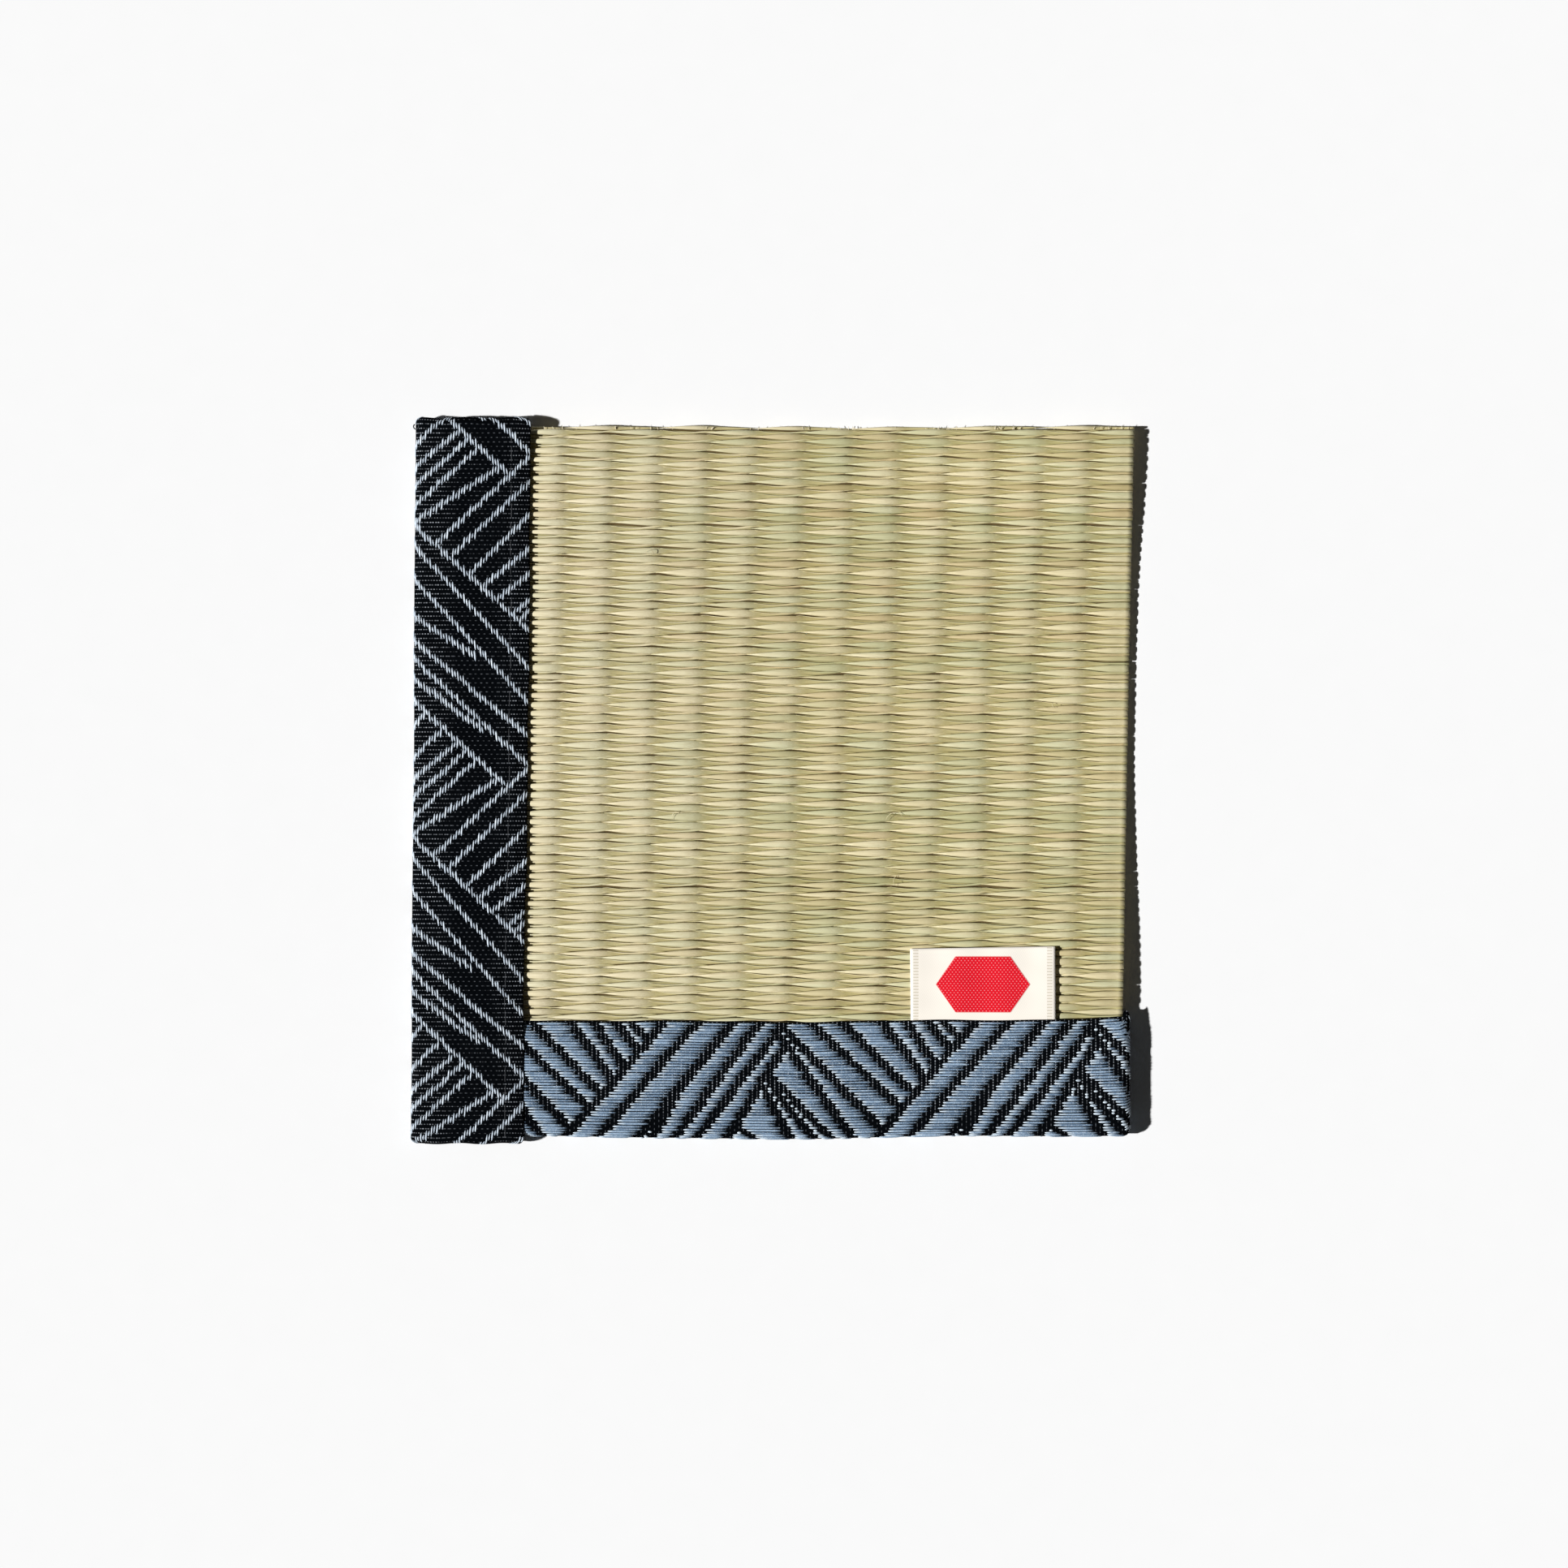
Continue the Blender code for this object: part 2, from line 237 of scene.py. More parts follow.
def round_off(distance, radius):
    """How much a rounded edge has dropped at a distance in from it: 1 at the edge, 0 past the radius."""
    return 1 - np.sqrt(1 - (1 - np.clip(distance / radius, 0, 1)) ** 2)


# The layout: where the solids have their edges, and how they are bent.

def dark_outer(y):
    return np.interp(y, (-HALF_DEPTH, HALF_DEPTH), DARK_OUTER_X)


def dark_inner(y):
    return dark_outer(y) + BINDING_WIDTH


def blue_outer(x):
    return np.interp(x, (-BLUE_END_X, BLUE_END_X), BLUE_OUTER_Y)


def blue_inner(x):
    return np.interp(x, (-BLUE_END_X, BLUE_END_X), BLUE_INNER_Y)


def rush_right(y):
    return np.interp(y, (-HALF_DEPTH, RUSH_FAR_Y), RUSH_RIGHT_X)


def lift(x, y):
    """How far the coaster is bent up or down from the flat layout."""
    across = ramp(x, dark_inner(y), SAG_REACH)
    along = ramp(y, blue_inner(x), SAG_REACH)
    far_left = CURL_FAR_LEFT * ramp(y, 20, 36) * (1 - ramp(x, -39, 60))
    far_right = CURL_FAR_RIGHT * ramp(y, 28, 28) * ramp(x, 15, 35)
    near_right = CURL_NEAR_RIGHT * (1 - ramp(y, -38, SAG_REACH)) * ramp(x, 15, 40)
    return far_left + far_right + near_right - (HEM_WALL + GAP) * across * along


def corner(x, y):
    """1 where the two bindings lie over each other."""
    return (1 - ramp(x, dark_inner(y), CORNER_RAMP)) * (1 - ramp(y, blue_inner(x), CORNER_RAMP))


def sewn(x, y):
    """1 where the rush is squeezed inside a binding."""
    return np.maximum(1 - ramp(x, dark_inner(y), SEWN_RAMP), 1 - ramp(y, blue_inner(x), SEWN_RAMP))


def sewn_thick(x, y):
    """Thickness of the rush inside a binding."""
    return RUSH_SEWN_THICK + (CORNER_RUSH_THICK - RUSH_SEWN_THICK) * corner(x, y)


def rush_thick(x, y):
    return RUSH_THICK + (sewn_thick(x, y) - RUSH_THICK) * sewn(x, y)


def rush_bottom_flat(x, y):
    plain = HEM_WALL + GAP
    stacked = CORNER_DARK_WALL + CORNER_BLUE_WALL + 2 * GAP
    return plain + (stacked - plain) * corner(x, y)


def edge_curl(x, y):
    """How much further than the solids the open right edge curls up."""
    outward = ramp(x, 20, 36) * ramp(y, blue_inner(x), 5)
    return outward * (OPEN_EDGE_CURL + OPEN_EDGE_CURL_FAR * ramp(y, 15, 38))


def rush_middle(x, y):
    return rush_bottom_flat(x, y) + lift(x, y) + edge_curl(x, y) + rush_thick(x, y) / 2


def rush_top(x, y):
    return rush_middle(x, y) + rush_thick(x, y) / 2


def last_warp(y):
    return FIRST_WARP_X + WARP_LEAN * y + (WARPS - 1) * (WARP_PITCH + WARP_SPREAD * y)


def weave_phase(x, y):
    """0 on the first warp and pi more on each warp after it. It slows down past the last one."""
    end = last_warp(y)
    eased = np.where(x > end, end + 0.25 * (x - end), x)
    return math.pi * (eased - FIRST_WARP_X - WARP_LEAN * y) / (WARP_PITCH + WARP_SPREAD * y)


def label_bump(x, y):
    """How far the blue binding rides up where the label is caught under it."""
    inside = smooth((x - LABEL_LEFT_X + LABEL_SIDE_RAMP) / LABEL_SIDE_RAMP)
    inside = inside * (1 - ramp(x, LABEL_RIGHT_X, LABEL_SIDE_RAMP))
    near = 1 - smooth((blue_inner(x) - LABEL_TUCK - y) / LABEL_BUMP_REACH)
    return LABEL_BUMP * inside * near


# Meshes.

def add_piece(name, points, faces, finish, layers=None):
    """A mesh piece from points in millimetres, carried by the coaster."""
    mesh = bpy.data.meshes.new(name)
    mesh.from_pydata((np.asarray(points) * MM).tolist(), [], [list(f) for f in faces])
    for layer, values in (layers or {}).items():
        values = np.asarray(values, np.float32)
        if values.ndim == 1:
            mesh.attributes.new(layer, "FLOAT", "POINT").data.foreach_set("value", values)
        else:
            made = mesh.attributes.new(layer, "FLOAT_VECTOR", "POINT")
            made.data.foreach_set("vector", values.ravel())
    mesh.materials.append(finish)
    mesh.shade_smooth()
    piece = bpy.data.objects.new(name, mesh)
    bpy.context.scene.collection.objects.link(piece)
    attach(piece, "root")
    return piece


def tube_faces(tubes, sections, sides):
    """Faces of many closed tubes whose points are ordered by tube, section and side."""
    ring = np.arange(sides)
    turned = (ring + 1) % sides
    start = np.arange(sections - 1)[:, None] * sides
    quads = np.stack(
        [start + ring, start + turned, start + sides + turned, start + sides + ring], axis=-1
    ).reshape(-1, 4)
    shift = np.arange(tubes)[:, None, None] * sections * sides
    walls = (quads[None] + shift).reshape(-1, 4).tolist()
    first = (np.arange(tubes)[:, None] * sections * sides + ring[::-1]).tolist()
    last = (np.arange(tubes)[:, None] * sections * sides + (sections - 1) * sides + ring).tolist()
    return walls + first + last


def shell_faces(rows, columns):
    """Faces of a closed sheet: an outer grid, then an inner grid, joined round their rims."""
    index = np.arange(rows * columns).reshape(rows, columns)
    inner = index + rows * columns
    quads = [(index[:-1, :-1], index[:-1, 1:], index[1:, 1:], index[1:, :-1])]
    quads.append((inner[1:, :-1], inner[1:, 1:], inner[:-1, 1:], inner[:-1, :-1]))
    quads.append((inner[0, :-1], inner[0, 1:], index[0, 1:], index[0, :-1]))
    quads.append((index[-1, :-1], index[-1, 1:], inner[-1, 1:], inner[-1, :-1]))
    quads.append((index[:-1, 0], index[1:, 0], inner[1:, 0], inner[:-1, 0]))
    quads.append((inner[:-1, -1], inner[1:, -1], index[1:, -1], index[:-1, -1]))
    return np.concatenate([np.stack(q, -1).reshape(-1, 4) for q in quads]).tolist()


# Materials.

class Finish:
    """A node material built step by step."""

    def __init__(self, name, roughness, specular=0.3):
        self.material = bpy.data.materials.new(name)
        self.material.use_nodes = True
        self.tree = self.material.node_tree
        self.shader = self.tree.nodes["Principled BSDF"]
        self.shader.inputs["Roughness"].default_value = roughness
        self.shader.inputs["Specular IOR Level"].default_value = specular

    def node(self, kind, **values):
        made = self.tree.nodes.new(kind)
        for key, value in values.items():
            setattr(made, key, value)
        return made

    def put(self, value, socket):
        if isinstance(value, bpy.types.NodeSocket):
            self.tree.links.new(value, socket)
        else:
            socket.default_value = value

    def calc(self, operation, *values):
        made = self.node("ShaderNodeMath", operation=operation)
        for value, socket in zip(values, made.inputs):
            self.put(value, socket)
        return made.outputs[0]

    def layer(self, name):
        """A number stored on the mesh."""
        return self.node("ShaderNodeAttribute", attribute_name=name).outputs["Fac"]

    def split(self, vector):
        made = self.node("ShaderNodeSeparateXYZ")
        self.put(vector, made.inputs[0])
        return made.outputs

    def place(self):
        """The point on the piece, in millimetres."""
        coordinates = self.node("ShaderNodeTexCoord").outputs["Object"]
        made = self.node("ShaderNodeVectorMath", operation="SCALE")
        self.put(coordinates, made.inputs[0])
        made.inputs["Scale"].default_value = 1 / MM
        return made.outputs[0]

    def noise(self, scale, detail=2.0):
        """Noise with its own scale, per millimetre, along each axis."""
        stretched = self.node("ShaderNodeVectorMath", operation="MULTIPLY")
        self.put(self.place(), stretched.inputs[0])
        stretched.inputs[1].default_value = scale
        made = self.node("ShaderNodeTexNoise")
        self.put(stretched.outputs[0], made.inputs["Vector"])
        made.inputs["Scale"].default_value = 1.0
        made.inputs["Detail"].default_value = detail
        return made.outputs["Fac"]

    def span(self, value, low, high, to_low=0.0, to_high=1.0):
        """The value moved from one range to another, and held at its ends."""
        made = self.node("ShaderNodeMapRange", clamp=True)
        for given, socket in zip((value, low, high, to_low, to_high), made.inputs):
            self.put(given, socket)
        return made.outputs[0]

    def over(self, value, limit, soft):
        """1 over the limit and 0 under it, with a soft step."""
        return self.span(value, limit - soft, limit + soft)

    def under(self, value, limit, soft):
        """1 under the limit and 0 over it, with a soft step."""
        return self.span(value, limit - soft, limit + soft, 1.0, 0.0)

    def mix(self, share, first, second):
        """A colour between two others."""
        made = self.node("ShaderNodeMix", data_type="RGBA")
        self.put(share, made.inputs["Factor"])
        for value, name in ((first, "A"), (second, "B")):
            socket = next(s for s in made.inputs if s.name == name and s.type == "RGBA")
            self.put((*value, 1.0) if isinstance(value, tuple) else value, socket)
        return next(s for s in made.outputs if s.type == "RGBA")

    def colour(self, value):
        self.put(value, self.shader.inputs["Base Color"])

    def relief(self, height, distance, strength=1.0):
        """Bump of a distance in millimetres."""
        made = self.node("ShaderNodeBump")
        made.inputs["Strength"].default_value = strength
        made.inputs["Distance"].default_value = distance * MM
        self.put(height, made.inputs["Height"])
        self.tree.links.new(made.outputs[0], self.shader.inputs["Normal"])


STRAW = ((0.61, 0.525, 0.275), (0.87, 0.78, 0.51))
GREEN = ((0.48, 0.472, 0.24), (0.70, 0.685, 0.44))
TAN = (0.58, 0.44, 0.22)
# Painted light: the paler colour the stems get towards the lit left side.
PAINTED_LIT_PALE = (0.93, 0.85, 0.63)
# Painted shade: the colour of a stem where it dives below its neighbours.
PAINTED_DIVE_SHADE = (0.39, 0.345, 0.135)


def rush_finish(name, brown):
    """Dried rush: straw, cream, tan and grey-green stems with fine lengthwise streaks, painted paler
    towards the lit left side and painted darker where a stem dives, as painted light and shade.
    """
    made = Finish(name, 0.5, 0.35)
    tone = made.layer("tone")
    drift = made.noise((0.06, 0.9, 0.0))
    patch = made.noise((0.05, 0.16, 0.0), 1.0)
    streak = made.noise((0.35, 9.0, 9.0), 3.0)
    straw = made.mix(made.span(tone, 0.0, 1.0), *STRAW)
    green = made.mix(made.span(tone, 0.0, 1.0), *GREEN)
    drifting = made.calc("MULTIPLY", made.calc("SUBTRACT", drift, 0.5), 1.6)
    greenness = made.calc("ADD", made.layer("hue"), drifting)
    greenness = made.calc("ADD", greenness, made.calc("SUBTRACT", patch, 0.5))
    stem = made.mix(made.span(greenness, 0.2, 0.9), straw, green)
    stem = made.mix(made.span(made.layer("tan"), 0.8, 1.0, 0.0, 0.7), stem, TAN)
    across = made.split(made.place())[0]
    # Painted light: the stems are painted paler towards the left, the side the key light comes from.
    stem = made.mix(made.span(across, -34.0, 8.0, 0.5, 0.0), stem, PAINTED_LIT_PALE)
    # Painted shade: darker where the stem dives low between its neighbours.
    stem = made.mix(made.span(made.layer("dive"), 0.2, 0.8, 0.0, 0.7), stem, PAINTED_DIVE_SHADE)
    stem = made.mix(made.span(streak, 0.35, 0.7, 0.0, 0.3), stem, brown)
    made.colour(stem)
    made.relief(streak, 0.02, 0.6)
    return made.material


def ground_finish():
    """Painted shade above: dark, as the shaded inside seen in slits between stems, and near black beside
    the dark binding as its painted shadow. Ribbed straw below.
    """
    made = Finish("rush_inside", 0.8, 0.1)
    grain = made.noise((0.6, 6.0, 6.0))
    # Painted shade: the dark colour the slits between stems show.
    inside = made.mix(grain, (0.07, 0.048, 0.018), (0.17, 0.12, 0.05))
    across, along, _ = made.split(made.place())
    # Painted shadow: near black beside the dark binding, where the binding casts its shadow on the rush.
    painted_tape_shadow = made.span(across, -37.9, -37.2, 1.0, 0.0)
    above = made.mix(painted_tape_shadow, inside, (0.006, 0.005, 0.004))
    rib = made.calc("SINE", made.calc("MULTIPLY", along, 2 * math.pi / PICK_PITCH))
    straw = made.mix(grain, (0.50, 0.42, 0.20), (0.72, 0.64, 0.38))
    below = made.mix(made.span(rib, -1.0, -0.3), (0.16, 0.11, 0.045), straw)
    made.colour(made.mix(made.layer("below"), above, below))
    made.relief(made.calc("ADD", grain, made.calc("MULTIPLY", rib, made.layer("below"))), 0.05)
    return made.material


def plain_thread_finish(name, low, high, scale, roughness=0.6, relief=0.03):
    """Plain twisted thread or string."""
    made = Finish(name, roughness, 0.2)
    fibre = made.noise((scale, scale, scale))
    made.colour(made.mix(fibre, low, high))
    made.relief(fibre, relief)
    return made.material


def weave_dots(made, across, along, pitch_across, pitch_along, half_across, half_along):
    """1 on small staggered dots, 0 between them. across and along are in millimetres."""
    row = made.calc("DIVIDE", along, pitch_along)
    parity = made.calc("MODULO", made.calc("FLOOR", row), 2.0)
    column = made.calc("ADD", made.calc("DIVIDE", across, pitch_across),
                       made.calc("MULTIPLY", parity, 0.5))
    off_row = made.calc("SUBTRACT", made.calc("FRACT", row), 0.5)
    off_column = made.calc("SUBTRACT", made.calc("FRACT", column), 0.5)
    a = made.calc("MULTIPLY", off_column, pitch_across / half_across)
    b = made.calc("MULTIPLY", off_row, pitch_along / half_along)
    squares = made.calc("ADD", made.calc("MULTIPLY", a, a), made.calc("MULTIPLY", b, b))
    return made.span(made.calc("SQRT", squares), 0.6, 1.3, 1.0, 0.0)


def cloth_ground_finish(name, calm):
    """Black weft ground of the figured cloth, with small grey glints in staggered rows.

    calm is the place across the tape, in millimetres, where the glints are dim and far apart.
    """
    made = Finish(name, 0.9, 0.0)
    tape = made.split(made.node("ShaderNodeAttribute", attribute_name="tape").outputs["Vector"])
    uneven = made.noise((1.3, 1.3, 1.3), 3.0)
    broad = made.noise((0.2, 0.2, 0.2))
    far = made.calc("ABSOLUTE", made.calc("SUBTRACT", tape[0], calm))
    busy = made.calc("ADD", made.span(far, 3.0, 6.5), made.calc("SUBTRACT", broad, 0.5))
    wide = weave_dots(made, tape[0], tape[1], 2 * GLINT_PITCH, WEFT_PITCH, 0.17, 0.075)
    close = weave_dots(made, tape[0], tape[1], GLINT_PITCH, WEFT_PITCH, 0.11, 0.085)
    dim = made.calc("MULTIPLY", wide, made.span(uneven, 0.35, 0.6, 0.3, 1.0))
    bright = made.calc("MULTIPLY", close, made.span(uneven, 0.4, 0.65, 0.1, 1.0))
    bright = made.calc("MULTIPLY", bright, busy)
    base = made.mix(uneven, (0.0012, 0.0016, 0.0022), (0.003, 0.0037, 0.005))
    base = made.mix(dim, base, (0.11, 0.12, 0.135))
    made.colour(made.mix(bright, base, (0.42, 0.45, 0.49)))
    made.relief(made.calc("ADD", close, wide), 0.05)
    return made.material


def float_finish(name, low, high, tip, end, twist):
    """A bundle of fine bright filaments. Its colours at the rising tip and the diving end are painted
    light and shade, and it is painted darker between filaments.
    """
    made = Finish(name, 0.5, 0.4)
    fibre = made.noise(twist, 3.0)
    grain = made.noise((6.0, 6.0, 6.0))
    shade = made.mix(made.layer("tone"), low, high)
    # Painted light and shade: the colours given for the diving end and the rising tip stand in for how the
    # light falls on them.
    shade = made.mix(made.span(made.layer("from_end"), 0.0, 1.2, 0.95, 0.0), shade, end)
    shade = made.mix(made.span(made.layer("from_tip"), 0.0, 1.2, 0.95, 0.0), shade, tip)
    # Painted shade: darker streaks between the filaments.
    painted_filament_shade = tuple(0.5 * c for c in low)
    shade = made.mix(made.span(fibre, 0.4, 0.75, 0.0, 0.5), shade, painted_filament_shade)
    # Grain adds random specks of the tip's painted colour.
    made.colour(made.mix(made.span(grain, 0.48, 0.7, 0.0, 0.45), shade, tip))
    made.relief(fibre, 0.03, 0.7)
    return made.material


def label_finish():
    """Cream woven label: fine twill, two ladder edges, one plain red hexagon of dotted weave with painted
    shade in the valleys between its dots.
    """
    made = Finish("label_cream", 0.75, 0.15)
    x, y, _ = made.split(made.place())
    mark_x = (LABEL_LEFT_X + LABEL_RIGHT_X) / 2 - MARK_SHIFT
    off_x = made.calc("ABSOLUTE", made.calc("SUBTRACT", x, mark_x))
    off_y = made.calc("ABSOLUTE", made.calc("SUBTRACT", y, MARK_Y))
    side = made.calc("ADD", made.calc("MULTIPLY", off_y, MARK_SLANT), off_x)
    inside = made.calc("MULTIPLY", made.under(off_y, MARK_HALF_HEIGHT, 0.1),
                       made.under(side, MARK_HALF_WIDTH, 0.1))
    diagonal = made.calc("ADD", made.calc("MULTIPLY", x, 2.4), y)
    twill = made.calc("SINE", made.calc("MULTIPLY", diagonal, 12.0))
    from_edge = made.calc("SUBTRACT", (LABEL_RIGHT_X - LABEL_LEFT_X) / 2, off_x)
    band = made.calc("MULTIPLY", made.over(from_edge, LADDER_START, 0.05),
                     made.under(from_edge, LADDER_STOP, 0.05))
    rung = made.span(made.calc("SINE", made.calc("MULTIPLY", y, 2 * math.pi / RUNG_PITCH)), -0.3, 0.5)
    ladder = made.calc("MULTIPLY", band, rung)
    cream = made.mix(made.span(twill, -1.0, 1.0), (0.865, 0.805, 0.715), (0.93, 0.875, 0.785))
    cream = made.mix(made.calc("MULTIPLY", ladder, 0.75), cream, (0.62, 0.56, 0.44))
    dots = weave_dots(made, x, y, 0.56, 0.36, 0.10, 0.085)
    rim = weave_dots(made, x, y, 0.56, 0.36, 0.24, 0.19)
    # Painted shade: the red is darker in the valleys away from the raised dots.
    red = made.mix(rim, (0.60, 0.002, 0.01), (0.86, 0.005, 0.022))
    red = made.mix(made.calc("MULTIPLY", dots, 0.7), red, (1.0, 0.42, 0.45))
    made.colour(made.mix(inside, cream, red))
    height = made.calc("ADD", made.calc("MULTIPLY", twill, 0.12), made.calc("MULTIPLY", ladder, -0.5))
    height = made.calc("ADD", height, made.calc("MULTIPLY", inside, made.calc("ADD", dots, 0.7)))
    made.relief(height, 0.06)
    return made.material


# The facing.

def add_ground(finish):
    """The sheet that the stems lie in: it closes the slits between them."""
    xs = np.linspace(0, 1, 90)
    ys = np.linspace(-54.9, FIRST_ROW_Y - 0.15, 80)
    row, share = np.meshgrid(ys, xs, indexing="ij")
    left = dark_outer(row) + SIDE_WALL + GAP
    x = left + share * (rush_right(row) - 0.12 - left)
    middle = rush_middle(x, row)
    top = np.stack([x, row, middle - SHEET_DEPTH], -1).reshape(-1, 3)
    under = np.stack([x, row, middle - (SHEET_DEPTH + SHEET_THICK)], -1).reshape(-1, 3)
    faces = shell_faces(len(ys), len(xs))
    layers = {"below": np.repeat([0.0, 1.0], len(top))}
    return add_piece("rush_sheet", np.concatenate([top, under]), faces, finish, layers)


def stem_outline(sides):
    """(y, z) of the points round a stem of half width and half height 1: nearly round, a little boxy."""
    angle = 2 * math.pi * np.arange(sides) / sides
    flat_y = np.sign(np.cos(angle)) * np.abs(np.cos(angle)) ** 0.9
    flat_z = np.sign(np.sin(angle)) * np.abs(np.sin(angle)) ** 0.8
    return flat_y, flat_z


def stem_points(picks, kind):
    """Points of woven stems, one for each pick, and how deep each point dives (0 to 1).

    A stem comes up as a narrow tip before its warp, is widest past it and dives as a broad tail. A slim
    stem lies beside each main one.
    """
    count = len(picks)
    sections, sides = kind["sections"], kind["sides"]
    parity = np.where(picks % 2 == 0, math.pi, 0.0)[:, None] + RANDOM.normal(0, WAVE_SPREAD, (count, 1))
    row = (FIRST_ROW_Y - PICK_PITCH * picks + RANDOM.normal(0, ROW_SPREAD, count))[:, None]
    left = dark_inner(row) - UNDER_DARK
    right = rush_right(row) + RANDOM.normal(-0.05, END_SPREAD, (count, 1))
    even = left + np.linspace(0, 1, sections) * (right - left)
    closer = 0.5 * WARP_PITCH / math.pi
    x = even - closer * np.sin(weave_phase(even, row) + parity + 1.8)
    x = left + (x - x[:, :1]) * (right - left) / (x[:, -1:] - x[:, :1])
    turn = (weave_phase(x, row) + parity + math.pi) % (2 * math.pi) - math.pi
    open_end = smooth((x - last_warp(row) + 0.5) / 4.0)
    lead = np.cos(turn + 0.3)
    wave = lead * (1.5 - 0.5 * lead * lead)
    level = wave * (1 - 0.85 * open_end)
    bend = RANDOM.uniform(0, 6.28, (count, 1))
    y = row + wander(x, 0.05, 9, bend) + wander(x, 0.03, 2.9, 2 * bend)
    thickness = RANDOM.normal(1.0, THICKNESS_SPREAD, (count, 1)) * (1 + wander(x, 0.05, 13, bend))
    squeeze = rush_thick(x, y) / RUSH_THICK
    y = y - kind["aside"] * PICK_PITCH * (1 + np.abs(np.cos(turn)))
    width = np.interp(turn, *zip(*kind["width"])) * thickness
    rolled = np.where(picks == 0, 0.6, 1.0)[:, None]
    z = rush_middle(x, y) + kind["rise"] * level * squeeze - 0.25 * (1 - rolled)
    flat_y, flat_z = stem_outline(sides)
    half_tall = kind["tall"] / 2 * squeeze * np.clip(0.45 + width, 0, 1)
    points = np.empty((count, sections, sides, 3))
    points[..., 0] = x[..., None]
    points[..., 1] = y[..., None] + (rolled * width)[..., None] / 2 * flat_y
    points[..., 2] = z[..., None] + half_tall[..., None] * flat_z
    return points, np.repeat((0.5 - 0.5 * wave).ravel(), sides)


def add_stems(name, picks, kind, finish):
    points, dive = stem_points(picks, kind)
    each = kind["sections"] * kind["sides"]
    layers = {
        "dive": dive,
        "tone": np.repeat(np.clip(RANDOM.normal(kind["tone"], 0.22, len(picks)), 0, 1), each),
        "hue": np.repeat(RANDOM.uniform(0, 1, len(picks)), each),
        "tan": np.repeat(RANDOM.uniform(0, 1, len(picks)), each),
    }
    faces = tube_faces(len(picks), kind["sections"], kind["sides"])
    return add_piece(name, points.reshape(-1, 3), faces, finish, layers)


def add_curved_bits(name, bits, finish):
    """Short loose threads or splinters. Each bit is a list of points and a radius."""
    sides = 5
    points = []
    sections = len(bits[0][0])
    for line, radius in bits:
        line = np.asarray(line, float)
        ahead = np.gradient(line, axis=0)
        ahead /= np.linalg.norm(ahead, axis=1)[:, None]
        first = np.cross(ahead, (0.3, 0.2, 1.0))
        first /= np.linalg.norm(first, axis=1)[:, None]
        second = np.cross(ahead, first)
        taper = radius * (1 - 0.6 * np.linspace(0, 1, sections) ** 2)
        for n in range(sections):
            for k in range(sides):
                turn = 2 * math.pi * k / sides
                ring = math.cos(turn) * first[n] + math.sin(turn) * second[n]
                points.append(line[n] + taper[n] * ring)
    tone = np.repeat(RANDOM.uniform(0.3, 1.0, len(bits)), sections * sides)
    layers = {"tone": tone, "hue": tone * 0.2, "tan": tone * 0.5, "dive": tone * 0.0}
    faces = tube_faces(len(bits), sections, sides)
    return add_piece(name, points, faces, finish, layers)


def add_splinters(finish):
    """Fine hairs split from the stems, each an arc that stands up from the face."""
    bits = []
    steps = 8
    for hair in SPLINTERS:
        line = []
        for n in range(steps + 1):
            turn = hair["turn"] + 2.4 * n / steps
            x = hair["x"] + hair["radius"] * math.cos(turn)
            y = hair["y"] + hair["radius"] * math.sin(turn)
            base = float(rush_top(np.array(x), np.array(y)))
            line.append((x, y, base + 0.05 + 0.5 * math.sin(math.pi * n / steps)))
        bits.append((line, 0.045))
    return add_curved_bits("rush_splinters", bits, finish)


def add_string_ends(finish):
    """Cut ends of the warp strings: fine pale fuzz along the far edge."""
    bits = []
    for x in np.sort(RANDOM.uniform(-38.0, 56.0, 90)):
        base = float(rush_middle(np.array(x), np.array(FIRST_ROW_Y)))
        reach = RANDOM.uniform(0.12, 0.4)
        lean = RANDOM.normal(0, 0.6)
        rise = RANDOM.uniform(-0.1, 0.3)
        line = [(x + lean * reach * t, FIRST_ROW_Y - 0.2 + (0.2 + reach) * t, base + 0.1 + rise * t)
                for t in np.linspace(0, 1, 5)]
        bits.append((line, RANDOM.uniform(0.04, 0.08)))
    return add_curved_bits("warp_string_ends", bits, finish)


# The bindings.

